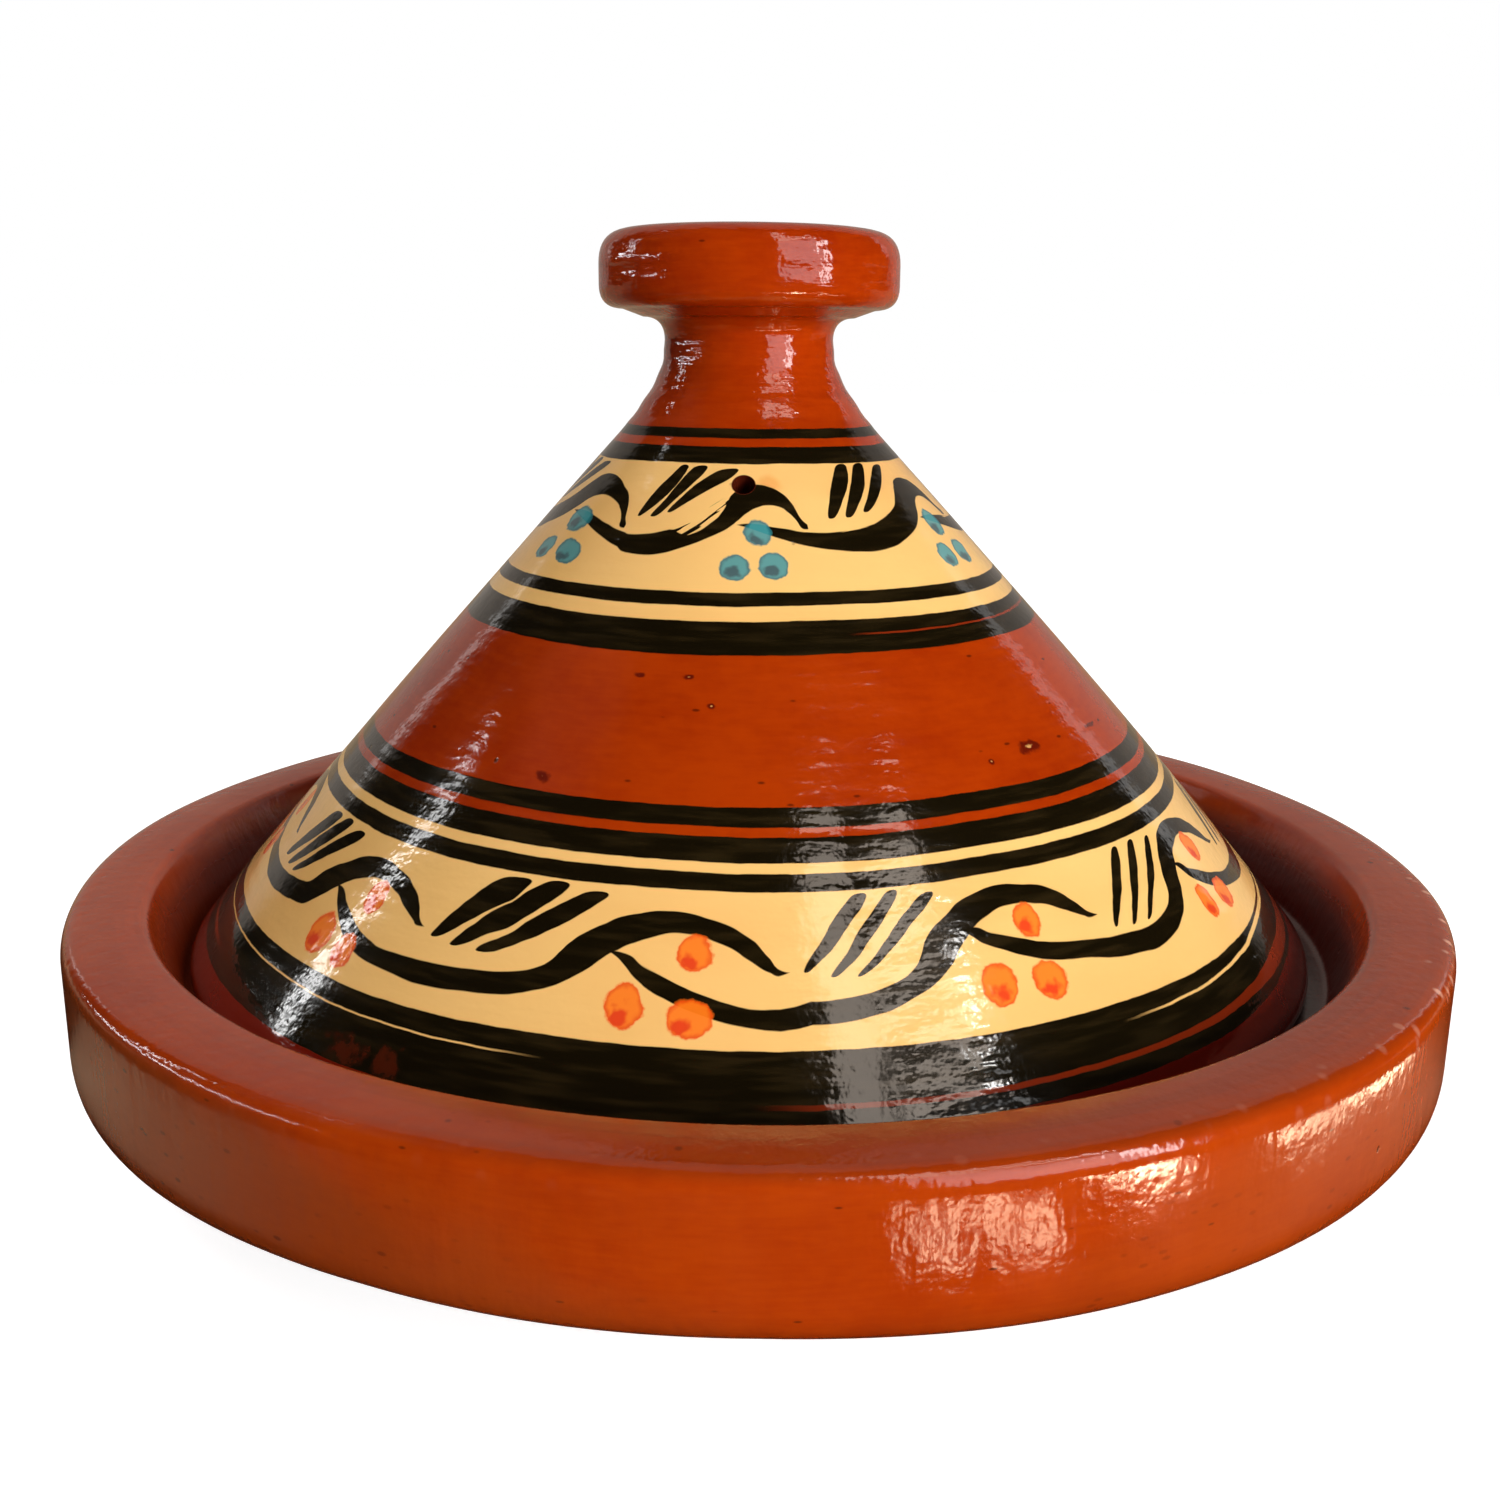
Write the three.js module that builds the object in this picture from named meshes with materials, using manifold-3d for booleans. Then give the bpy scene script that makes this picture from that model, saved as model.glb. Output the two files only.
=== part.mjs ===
// A two-piece glazed clay tagine: a heavy round dish, and a conical lid that rests on a ledge inside
// the dish's rim. Millimetres, +Z up. The origin is the centre of the dish's foot, on the table.

import * as THREE from 'three';
import { mergeVertices } from 'three/addons/utils/BufferGeometryUtils.js';
import Module from 'manifold-3d';

// Lid, from its resting edge upwards
const lidRadius = 125.3;        // outside of the resting edge
const lidEdgeHeight = 3;        // upright band above the resting edge
const lidEdgeWidth = 11;        // flat ring that sits on the ledge
const lidWall = 9;              // thickness of the cone at its top
const coneRise = 111.7;         // resting edge up to the foot of the neck
const coneBulge = 1.6;          // swell of the cone past a straight line
const hollowDome = 6;           // rise of the rounded roof of the hollow
const neckFootRadius = 28.5;    // where the cone turns into the neck
const neckRadius = 18.3;        // narrowest part of the neck
const neckRise = 19.5;          // foot of the neck up to its narrowest part
const neckFillet = 4.5;         // hollow corner under the knob
const knobRadius = 32.3;
const knobUndercut = 1.6;       // slope of the knob's underside
const knobLowerRound = 5;
const knobSide = 4.3;           // upright part of the knob's side
const knobUpperRound = 7.2;
const knobDishRadius = 17;      // shallow hollow in the top of the knob
const knobDishDepth = 3;

// Steam hole through the front of the cone
const steamHoleDiameter = 4.6;
const steamHoleDrop = 11.3;     // below the foot of the neck, along the slope
const steamHoleTurn = 1.5;      // degrees to the left of the front

// Dish, from its foot upwards
const floorThickness = 9;       // clay under the middle of the bowl
const bowlDepth = 29;           // bowl floor up to the ledge
const bowlCorner = 34;          // run of the curve between the bowl's floor and its side
const ledgeWidth = 13;          // flat ledge that carries the lid
const rimDepth = 15.9;          // ledge up to the rim's flat top
const rimFlare = 6.7;           // how far the inner wall opens between the ledge and the rim
const rimWidth = 17.1;          // across the rim, from its inner edge to the outer wall
const rimOuterRound = 4;
const rimInnerRound = 2;
const footInset = 47;           // how far the foot lies inside the upright wall
const cornerHeight = 26;        // foot up to the corner where the underside meets the wall
const cornerRound = 6;
const undersideBelly = 0.5;     // swell of the slanting underside

// Fits
const ledgePlay = 2.2;          // room around the lid's edge on the ledge
const lidShift = 1.8;           // the lid stands this far to the left within that room
const seatGap = 0.3;            // between the lid's edge and the ledge

const facets = 72;              // around the axis
const curveSteps = 6;           // along each curve of an outline
const weldDistance = 1e-4;

const ledgeRadius = lidRadius + ledgePlay;
const rimInnerRadius = ledgeRadius + rimFlare;
const dishRadius = rimInnerRadius + rimWidth;
const footRadius = dishRadius - footInset;
const ledgeHeight = floorThickness + bowlDepth;
const dishHeight = ledgeHeight + rimDepth;
const lidBase = ledgeHeight + seatGap;

const wasm = await Module();
wasm.setup();

// Joins the corners that faces share, and drops the slivers that a lathe leaves on its axis.
function welded(geometry) {
  geometry.deleteAttribute('normal');
  geometry.deleteAttribute('uv');
  const joined = mergeVertices(geometry, weldDistance);
  const corners = joined.index.array;
  const kept = [];
  for (let i = 0; i < corners.length; i += 3) {
    const [a, b, c] = corners.slice(i, i + 3);
    if (a !== b && b !== c && c !== a) kept.push(a, b, c);
  }
  joined.setIndex(kept);
  return joined;
}

// Turns an outline of (radius, height) points about +Z.
function turned(outline) {
  return welded(new THREE.LatheGeometry(outline, facets).rotateX(Math.PI / 2));
}

function solid(geometry) {
  return new wasm.Manifold(new wasm.Mesh({
    numProp: 3,
    vertProperties: new Float32Array(geometry.attributes.position.array),
    triVerts: new Uint32Array(geometry.index.array),
  }));
}

// Cuts one closed shape out of another.
function cut(body, tool) {
  const mesh = solid(body).subtract(solid(tool)).getMesh();
  const geometry = new THREE.BufferGeometry();
  geometry.setAttribute('position', new THREE.BufferAttribute(mesh.vertProperties, 3));
  geometry.setIndex(new THREE.BufferAttribute(mesh.triVerts, 1));
  return geometry;
}

function dishOutline() {
  const bowlRadius = ledgeRadius - ledgeWidth;
  const foot = new THREE.Vector2(footRadius, 0);
  const corner = new THREE.Vector2(dishRadius, cornerHeight);
  const slant = corner.clone().sub(foot).normalize();
  const turn = corner.clone().addScaledVector(slant, -cornerRound);
  const underside = foot.clone().lerp(turn, 0.5);
  underside.add(new THREE.Vector2(slant.y, -slant.x).multiplyScalar(undersideBelly));
  const path = new THREE.Path();
  path.moveTo(0, 0);
  path.lineTo(foot.x, foot.y);
  path.quadraticCurveTo(underside.x, underside.y, turn.x, turn.y);
  path.quadraticCurveTo(corner.x, corner.y, corner.x, corner.y + cornerRound);
  path.lineTo(dishRadius, dishHeight - rimOuterRound);
  path.quadraticCurveTo(dishRadius, dishHeight, dishRadius - rimOuterRound, dishHeight);
  path.lineTo(rimInnerRadius + rimInnerRound, dishHeight);
  path.quadraticCurveTo(
    rimInnerRadius, dishHeight,
    rimInnerRadius - rimFlare * rimInnerRound / rimDepth, dishHeight - rimInnerRound,
  );
  path.lineTo(ledgeRadius, ledgeHeight);
  path.lineTo(bowlRadius, ledgeHeight);
  path.bezierCurveTo(
    bowlRadius - 0.25 * bowlCorner, ledgeHeight - 0.65 * bowlDepth,
    bowlRadius - 0.5 * bowlCorner, floorThickness,
    bowlRadius - bowlCorner, floorThickness,
  );
  path.lineTo(0, floorThickness);
  return path.getPoints(curveSteps);
}

// The outside of the cone, from the top of the edge band to the foot of the neck
const coneFoot = new THREE.Vector2(lidRadius, lidBase + lidEdgeHeight);
const coneTop = new THREE.Vector2(neckFootRadius, lidBase + coneRise);
const slope = coneTop.clone().sub(coneFoot).normalize();
const outward = new THREE.Vector2(slope.y, -slope.x);
const coneMiddle = coneFoot.clone().lerp(coneTop, 0.5).addScaledVector(outward, coneBulge);
const cone = new THREE.QuadraticBezierCurve(coneFoot, coneMiddle, coneTop);

function lidOutline() {
  const hollowTop = coneTop.clone().addScaledVector(outward, -lidWall);
  const hollowFoot = new THREE.Vector2(lidRadius - lidEdgeWidth, lidBase);
  const hollowMiddle = hollowTop.clone().lerp(hollowFoot, 0.5).addScaledVector(outward, coneBulge);
  const neckFlow = coneTop.clone().addScaledVector(slope, 0.3 * neckRise);
  const neckTop = coneTop.y + neckRise;
  const knobBase = neckTop + neckFillet;
  const knobCorner = knobBase + knobUndercut;
  const knobTop = knobCorner + knobLowerRound + knobSide + knobUpperRound;

  const path = new THREE.Path();
  path.moveTo(0, hollowTop.y + hollowDome);
  path.quadraticCurveTo(0.7 * hollowTop.x, hollowTop.y + hollowDome, hollowTop.x, hollowTop.y);
  path.quadraticCurveTo(hollowMiddle.x, hollowMiddle.y, hollowFoot.x, hollowFoot.y);
  path.lineTo(lidRadius, lidBase);
  path.lineTo(coneFoot.x, coneFoot.y);
  path.quadraticCurveTo(coneMiddle.x, coneMiddle.y, coneTop.x, coneTop.y);
  path.bezierCurveTo(neckFlow.x, neckFlow.y, neckRadius, neckTop - 0.2 * neckRise, neckRadius, neckTop);
  path.quadraticCurveTo(neckRadius, knobBase, neckRadius + neckFillet, knobBase);
  path.lineTo(knobRadius - knobLowerRound, knobCorner);
  path.quadraticCurveTo(knobRadius, knobCorner, knobRadius, knobCorner + knobLowerRound);
  path.lineTo(knobRadius, knobTop - knobUpperRound);
  path.quadraticCurveTo(knobRadius, knobTop, knobRadius - knobUpperRound, knobTop);
  path.lineTo(knobDishRadius, knobTop);
  path.quadraticCurveTo(0.5 * knobDishRadius, knobTop - knobDishDepth, 0, knobTop - knobDishDepth);
  return path.getPoints(curveSteps);
}

// A round bar square to the cone's slope, long enough to pass the wall on both sides
function steamHole() {
  const place = cone.getPointAt(1 - steamHoleDrop / cone.getLength());
  const radius = steamHoleDiameter / 2;
  const bar = welded(new THREE.CylinderGeometry(radius, radius, 3 * lidWall, 16));
  bar.rotateX(Math.PI / 2 + Math.atan2(outward.x, outward.y));
  bar.translate(0, -place.x, place.y);
  bar.rotateZ(-THREE.MathUtils.degToRad(steamHoleTurn));
  return bar;
}

const clayRed = { color: 0xa8421a, roughness: 0.22, metalness: 0 };
const paintedCream = { color: 0xe6c088, roughness: 0.22, metalness: 0 };

function piece(name, geometry, finish) {
  geometry.computeVertexNormals();
  const mesh = new THREE.Mesh(geometry, new THREE.MeshStandardMaterial(finish));
  mesh.name = name;
  return mesh;
}

const dish = piece('dish', turned(dishOutline()), clayRed);
const lid = piece('lid', cut(turned(lidOutline()), steamHole()), paintedCream);
lid.position.x = -lidShift;

const tagine = new THREE.Group();
tagine.add(dish, lid);

export default tagine;
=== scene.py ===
# Glazed clay tagine: dish and painted lid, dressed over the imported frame. Metres, +Z up.
import math

import bpy
from mathutils import Matrix, Vector


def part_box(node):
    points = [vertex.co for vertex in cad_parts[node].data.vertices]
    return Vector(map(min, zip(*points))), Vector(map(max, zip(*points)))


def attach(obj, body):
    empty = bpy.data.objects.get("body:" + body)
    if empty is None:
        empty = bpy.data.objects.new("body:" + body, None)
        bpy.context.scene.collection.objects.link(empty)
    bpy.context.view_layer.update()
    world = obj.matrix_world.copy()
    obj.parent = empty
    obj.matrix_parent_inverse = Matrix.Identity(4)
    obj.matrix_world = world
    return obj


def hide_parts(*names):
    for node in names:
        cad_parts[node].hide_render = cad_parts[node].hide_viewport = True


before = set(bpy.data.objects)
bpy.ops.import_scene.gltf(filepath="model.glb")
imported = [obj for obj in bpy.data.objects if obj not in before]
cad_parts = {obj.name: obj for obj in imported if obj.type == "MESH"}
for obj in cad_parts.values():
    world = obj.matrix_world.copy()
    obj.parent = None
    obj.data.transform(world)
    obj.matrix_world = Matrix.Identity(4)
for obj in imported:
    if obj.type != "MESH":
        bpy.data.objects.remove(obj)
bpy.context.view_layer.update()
mm = 0.001
seedSize = 1  # side of the plane that is merged into an outline's first point
mergeWithin = 0.01
smoothAngle = 40
print("frame loaded")


# Outlines are lists of (radius, height) in millimetres, drawn like a potter's template.
# The last number of a stretch is how many points it gets.
def lineTo(outline, radius, height, count):
    startRadius, startHeight = outline[-1]
    for step in range(1, count + 1):
        share = step / count
        outline.append((startRadius + (radius - startRadius) * share,
                        startHeight + (height - startHeight) * share))


def curveTo(outline, bendRadius, bendHeight, radius, height, count):
    startRadius, startHeight = outline[-1]
    for step in range(1, count + 1):
        share = step / count
        near, mid, far = (1 - share) ** 2, 2 * share * (1 - share), share ** 2
        outline.append((near * startRadius + mid * bendRadius + far * radius,
                        near * startHeight + mid * bendHeight + far * height))


def turnOutline(name, outline, axisX, turns):
    bpy.ops.object.select_all(action="DESELECT")
    startRadius, startHeight = outline[0]
    start = (axisX + startRadius * mm, 0, startHeight * mm)
    bpy.ops.mesh.primitive_plane_add(size=seedSize * mm, location=start)
    piece = bpy.context.active_object
    piece.name = name
    bpy.ops.object.transform_apply(location=True, rotation=True, scale=True)
    bpy.ops.object.mode_set(mode="EDIT")
    bpy.ops.mesh.select_all(action="SELECT")
    bpy.ops.mesh.merge(type="CENTER")
    for (radius, height), (lastRadius, lastHeight) in zip(outline[1:], outline):
        step = ((radius - lastRadius) * mm, 0, (height - lastHeight) * mm)
        bpy.ops.mesh.extrude_region_move(TRANSFORM_OT_translate={"value": step})
    bpy.ops.mesh.select_all(action="SELECT")
    bpy.ops.mesh.spin(steps=turns, angle=2 * math.pi, center=(axisX, 0, 0), axis=(0, 0, 1))
    bpy.ops.mesh.select_all(action="SELECT")
    bpy.ops.mesh.remove_doubles(threshold=mergeWithin * mm)
    bpy.ops.mesh.normals_make_consistent(inside=False)
    bpy.ops.object.mode_set(mode="OBJECT")
    return piece


def handUneven(piece, spread, depth):
    texture = bpy.data.textures.new(piece.name + "Uneven", "CLOUDS")
    texture.noise_scale = spread * mm
    texture.noise_depth = 1
    dent = piece.modifiers.new("uneven", "DISPLACE")
    dent.texture = texture
    dent.texture_coords = "LOCAL"
    dent.strength = depth * mm
    dent.mid_level = 1  # only inwards, so the piece keeps its box
    bpy.context.view_layer.objects.active = piece
    bpy.ops.object.modifier_apply(modifier=dent.name)


def rampShare(value, low, high):
    return min(max((value - low) / (high - low), 0), 1)


def pushHeight(piece, name, push, weigh):  # a firing warp: points move up or down by their own share
    group = piece.vertex_groups.new(name=name)
    for point in piece.data.vertices:
        share = weigh(point.co / mm)
        if share > 0:
            group.add([point.index], share, "REPLACE")
    warp = piece.modifiers.new(name, "DISPLACE")
    warp.direction = "Z"
    warp.strength = push * mm
    warp.mid_level = 0
    warp.vertex_group = name
    bpy.context.view_layer.objects.active = piece
    bpy.ops.object.modifier_apply(modifier=warp.name)
    piece.vertex_groups.clear()


# Dish
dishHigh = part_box("dish")[1]
dishShape = {
    "radius": dishHigh.x / mm,
    "height": dishHigh.z / mm,
    "footInset": 47,
    "footRound": 2,
    "cornerHeight": 26,
    "cornerRound": 6,
    "rimOuterRound": 5,
    "rimWidth": 17.1,
    "rimInnerRound": 2,
    "rimCrown": 0.25,
    "rimFlare": 6.7,
    "ledgeHeight": 38,
    "ledgeWidth": 13,
    "ledgeFillet": 1.2,
    "bowlCorner": 34,
    "bowlBend": 0.3,
    "floorThickness": 9,
    "turns": 256,
    "unevenSpread": 70,
    "unevenDepth": 0.5,
    "backLift": 1.9,
    "backLiftFrom": 40,
    "backLiftBelow": 1,
    "backLiftAcross": (-90, 140),
    "sideSag": 2.6,
    "sideSagFrom": 4,
    "sideSagTo": 48,
    "sagRight": (0, 125),
    "sagLeft": (62, 127),
}


def makeDish(shape):
    radius, height = shape["radius"], shape["height"]
    footRadius = radius - shape["footInset"]
    rimInner = radius - shape["rimWidth"]
    ledgeRadius = rimInner - shape["rimFlare"]
    ledge, floor = shape["ledgeHeight"], shape["floorThickness"]
    bowlRadius = ledgeRadius - shape["ledgeWidth"]
    slant = Vector((radius - footRadius, shape["cornerHeight"])).normalized()
    turnRadius = radius - slant.x * shape["cornerRound"]
    turnHeight = shape["cornerHeight"] - slant.y * shape["cornerRound"]
    wallLean = Vector((shape["rimFlare"], height - ledge)).normalized()
    outerRound, innerRound, crown = shape["rimOuterRound"], shape["rimInnerRound"], shape["rimCrown"]
    foot, corner = shape["footRound"], shape["cornerHeight"]
    outline = [(0, 0)]
    lineTo(outline, footRadius - foot, 0, 16)
    curveTo(outline, footRadius, 0, footRadius + slant.x * foot, slant.y * foot, 6)
    lineTo(outline, turnRadius, turnHeight, 12)
    curveTo(outline, radius, corner, radius, corner + shape["cornerRound"], 10)
    lineTo(outline, radius, height - crown - outerRound, 8)
    curveTo(outline, radius, height - crown, radius - outerRound, height - crown, 14)
    rimMiddle = (radius - outerRound + rimInner + innerRound) / 2
    curveTo(outline, rimMiddle, height + crown, rimInner + innerRound, height - crown, 10)
    curveTo(outline, rimInner, height - crown, rimInner - wallLean.x * innerRound,
            height - crown - wallLean.y * innerRound, 8)
    fillet = shape["ledgeFillet"]
    lineTo(outline, ledgeRadius + wallLean.x * fillet, ledge + wallLean.y * fillet, 10)
    curveTo(outline, ledgeRadius, ledge, ledgeRadius - fillet, ledge, 6)
    lineTo(outline, bowlRadius + fillet, ledge, 8)
    bend, bowlCorner = shape["bowlBend"], shape["bowlCorner"]
    curveTo(outline, bowlRadius, ledge, bowlRadius - bend * fillet, ledge - fillet, 6)
    curveTo(outline, bowlRadius - bend * bowlCorner, floor, bowlRadius - bowlCorner, floor, 16)
    lineTo(outline, 0, floor, 14)
    piece = turnOutline("dishClay", outline, 0, shape["turns"])
    handUneven(piece, shape["unevenSpread"], shape["unevenDepth"])
    return piece


def warpDish(piece, shape):
    ledgeReach = shape["radius"] - shape["rimWidth"] - shape["rimFlare"]

    def backRim(spot):
        if spot.xy.length < ledgeReach:
            return 0
        rise = rampShare(spot.z, shape["backLiftFrom"], shape["height"] - shape["backLiftBelow"])
        return rise * rampShare(spot.y, *shape["backLiftAcross"])

    def sides(spot):
        low, high, corner = shape["sideSagFrom"], shape["sideSagTo"], shape["cornerHeight"]
        if spot.xy.length < shape["radius"] - shape["footInset"]:
            return 0
        rise = min(rampShare(spot.z, low, corner), rampShare(-spot.z, -high, -corner))
        return rise * max(rampShare(spot.x, *shape["sagRight"]), rampShare(-spot.x, *shape["sagLeft"]))

    pushHeight(piece, "backLift", shape["backLift"], backRim)
    pushHeight(piece, "sideSag", -shape["sideSag"], sides)


dishClay = makeDish(dishShape)
warpDish(dishClay, dishShape)
print("dish turned:", len(dishClay.data.polygons), "faces")

# Lid
lidLow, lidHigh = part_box("lid")
lidShape = {
    "axisX": (lidLow.x + lidHigh.x) / 2,
    "radius": (lidHigh.x - lidLow.x) / 2 / mm,
    "base": lidLow.z / mm,
    "top": lidHigh.z / mm,
    "edgeHeight": 3,
    "edgeWidth": 11,
    "edgeRound": 1,
    "edgeBlend": 2,
    "wall": 9,
    "coneRise": 111.7,
    "coneBulge": 1.6,
    "hollowDome": 6,
    "domeBend": 0.7,
    "neckFoot": 28.5,
    "neckRadius": 18.3,
    "neckRise": 19.5,
    "neckFlow": 0.42,
    "neckFlowRise": 0.28,
    "neckTuck": 0.6,
    "neckStraight": 0.22,
    "neckFillet": 4.5,
    "knobRadius": 32.3,
    "knobUndercut": 1.6,
    "knobLowerRound": 5,
    "knobUpperRound": 7.2,
    "knobDishRadius": 17,
    "knobDishDepth": 3,
    "knobDishBend": 0.5,
    "neckRidge": 0.13,
    "neckRidgeStep": 5.4,
    "neckRidgeFrom": 2,
    "leanLeft": 1.3,
    "leanHeight": 150,  # from the lid's edge up to where the lean is whole
    "holeSides": 40,
    "punchWalls": 3,
    "holeRadius": 2.3,
    "holeDrop": 11.3,
    "holeTurn": 1.8,
    "turns": 256,
    "unevenSpread": 55,
    "unevenDepth": 0.45,
}


def makeLid(shape):
    radius, base, top = shape["radius"], shape["base"], shape["top"]
    footHeight = base + shape["edgeHeight"]
    coneTop = base + shape["coneRise"]
    rise = Vector((shape["neckFoot"] - radius, coneTop - footHeight))
    slope = rise.normalized()
    outward = Vector((slope.y, -slope.x))
    bulge = Vector((radius, footHeight)) + rise / 2 + outward * shape["coneBulge"]
    hollowTop = Vector((shape["neckFoot"], coneTop)) - outward * shape["wall"]
    hollowFoot = Vector((radius - shape["edgeWidth"], base))
    hollowBulge = (hollowTop + hollowFoot) / 2 + outward * shape["coneBulge"]
    neck, neckTop = shape["neckRadius"], coneTop + shape["neckRise"]
    knobBase = neckTop + shape["neckFillet"]
    corner = knobBase + shape["knobUndercut"]
    knob, lower, upper = shape["knobRadius"], shape["knobLowerRound"], shape["knobUpperRound"]
    domeTop = hollowTop.y + shape["hollowDome"]
    outline = [(0, domeTop)]
    curveTo(outline, shape["domeBend"] * hollowTop.x, domeTop, hollowTop.x, hollowTop.y, 12)
    curveTo(outline, hollowBulge.x, hollowBulge.y, hollowFoot.x, hollowFoot.y, 28)
    edge, blend = shape["edgeRound"], shape["edgeBlend"]
    lineTo(outline, hollowFoot.x + edge, base, 2)
    lineTo(outline, radius - edge, base, 6)
    curveTo(outline, radius, base, radius, base + edge, 4)
    curveTo(outline, radius, footHeight, radius + blend * slope.x, footHeight + blend * slope.y, 6)
    curveTo(outline, bulge.x, bulge.y, shape["neckFoot"], coneTop, 48)
    neckRise = shape["neckRise"]
    flow = Vector((shape["neckFoot"], coneTop)) + slope * shape["neckFlow"] * neckRise
    flowEnd = (flow.x + neck) / 2 - shape["neckTuck"]
    curveTo(outline, flow.x, flow.y, flowEnd, flow.y + shape["neckFlowRise"] * neckRise, 10)
    curveTo(outline, neck, neckTop - shape["neckStraight"] * neckRise, neck, neckTop, 8)
    curveTo(outline, neck, knobBase, neck + shape["neckFillet"], knobBase, 10)
    lineTo(outline, knob - lower, corner, 6)
    curveTo(outline, knob, corner, knob, corner + lower, 10)
    lineTo(outline, knob, top - upper, 4)
    curveTo(outline, knob, top, knob - upper, top, 12)
    lineTo(outline, shape["knobDishRadius"], top, 6)
    dishFloor = top - shape["knobDishDepth"]
    curveTo(outline, shape["knobDishBend"] * shape["knobDishRadius"], dishFloor, 0, dishFloor, 12)
    ridged = []
    for radiusHere, heightHere in outline:
        onNeck = coneTop + shape["neckRidgeFrom"] < heightHere < neckTop and radiusHere >= neck
        wave = math.sin(2 * math.pi * (heightHere - coneTop) / shape["neckRidgeStep"])
        ridge = shape["neckRidge"] * wave
        ridged.append((radiusHere + ridge if onNeck else radiusHere, heightHere))
    piece = turnOutline("lidClay", ridged, shape["axisX"], shape["turns"])
    handUneven(piece, shape["unevenSpread"], shape["unevenDepth"])
    return piece


def leanLid(piece, shape):
    bpy.context.view_layer.objects.active = piece
    bpy.ops.object.mode_set(mode="EDIT")
    bpy.ops.mesh.select_all(action="DESELECT")
    bpy.ops.object.mode_set(mode="OBJECT")
    for point in piece.data.vertices:
        point.select = point.co.z > (shape["base"] + shape["coneRise"] + shape["neckRise"]) * mm
    bpy.ops.object.mode_set(mode="EDIT")
    bpy.ops.transform.translate(
        value=(-shape["leanLeft"] * mm, 0, 0), use_proportional_edit=True,
        proportional_edit_falloff="LINEAR", proportional_size=shape["coneRise"] * mm)
    bpy.ops.object.mode_set(mode="OBJECT")


def steamHolePlace(shape):  # where the hole leaves the cone, and the way it points
    run, climb = shape["neckFoot"] - shape["radius"], shape["coneRise"] - shape["edgeHeight"]
    rise = Vector((run, climb)).normalized()
    turn = -math.pi / 2 - math.radians(shape["holeTurn"])
    reach = shape["neckFoot"] - rise.x * shape["holeDrop"]
    up = shape["coneRise"] - rise.y * shape["holeDrop"]
    leaned = shape["axisX"] - shape["leanLeft"] * mm * up / shape["leanHeight"]
    spotX, spotY = leaned + reach * mm * math.cos(turn), reach * mm * math.sin(turn)
    spot = Vector((spotX, spotY, (shape["base"] + up) * mm))
    way = Vector((rise.y * math.cos(turn), rise.y * math.sin(turn), -rise.x))
    return spot, way


def pierceSteamHole(piece, shape):
    spot, way = steamHolePlace(shape)
    bpy.ops.object.select_all(action="DESELECT")
    bpy.ops.mesh.primitive_cylinder_add(
        vertices=shape["holeSides"], radius=shape["holeRadius"] * mm,
        depth=shape["punchWalls"] * shape["wall"] * mm, location=spot,
        rotation=way.to_track_quat("Z", "Y").to_euler())
    punch = bpy.context.active_object
    boreShade = piece.modifiers.new("steamHole", "BOOLEAN")
    boreShade.operation = "DIFFERENCE"
    boreShade.object = punch
    bpy.context.view_layer.objects.active = piece
    bpy.ops.object.modifier_apply(modifier=boreShade.name)
    bpy.data.objects.remove(punch)


lidClay = makeLid(lidShape)
leanLid(lidClay, lidShape)
pierceSteamHole(lidClay, lidShape)
print("lid turned:", len(lidClay.data.polygons), "faces")

for piece in (dishClay, lidClay):
    bpy.ops.object.select_all(action="DESELECT")
    piece.select_set(True)
    bpy.context.view_layer.objects.active = piece
    bpy.ops.object.shade_smooth_by_angle(angle=math.radians(smoothAngle))


# A wire is one output socket. Sums of wires add Math nodes.
class Wire:
    def __init__(self, tree, socket=None):
        self.tree = tree
        self.socket = socket

    def node(self, kind, settings=None, inputs=None, out=0):
        made = self.tree.nodes.new("ShaderNode" + kind)
        for key, value in (settings or {}).items():
            if key == "points":  # a float curve's line
                line = made.mapping.curves[0].points
                line[0].location, line[1].location = value[0], value[-1]
                for place in value[1:-1]:
                    line.new(*place)
                made.mapping.update()
            else:
                setattr(made, key, value)
        for key, value in (inputs or {}).items():
            if isinstance(value, Wire):
                self.tree.links.new(value.socket, made.inputs[key])
            else:
                made.inputs[key].default_value = value
        return None if out is None else Wire(self.tree, made.outputs[out])

    def pick(self, out):
        return Wire(self.tree, self.socket.node.outputs[out])

    def maths(self, operation, *rest):
        return self.node("Math", {"operation": operation}, dict(enumerate((self, *rest))))

    def flipped(self, operation, other):
        return self.node("Math", {"operation": operation}, {0: other, 1: self})

    def __add__(self, other):
        return self.maths("ADD", other)

    def __radd__(self, other):
        return self.maths("ADD", other)

    def __sub__(self, other):
        return self.maths("SUBTRACT", other)

    def __rsub__(self, other):
        return self.flipped("SUBTRACT", other)

    def __mul__(self, other):
        return self.maths("MULTIPLY", other)

    def __rmul__(self, other):
        return self.maths("MULTIPLY", other)

    def __truediv__(self, other):
        return self.maths("DIVIDE", other)

    def __rtruediv__(self, other):
        return self.flipped("DIVIDE", other)


def linear(red, green, blue):  # a colour as a paint program gives it
    def one(value):
        share = value / 255
        return share / 12.92 if share <= 0.04045 else ((share + 0.055) / 1.055) ** 2.4
    return (one(red), one(green), one(blue), 1)


def mixColour(share, under, over):
    return share.node("Mix", {"data_type": "RGBA"}, {"Factor": share, 6: under, 7: over}, out=2)


def cloud(place, scale, detail=2, roughness=0.5):
    return place.node("TexNoise", {}, {
        "Vector": place, "Scale": scale, "Detail": detail, "Roughness": roughness})


def waver(place, scale, detail):  # noise about zero
    return cloud(place, scale, detail) - 0.5


def stretched(place, x, y, z):
    return place.node("Mapping", {}, {"Vector": place, "Scale": (x, y, z)})


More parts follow.
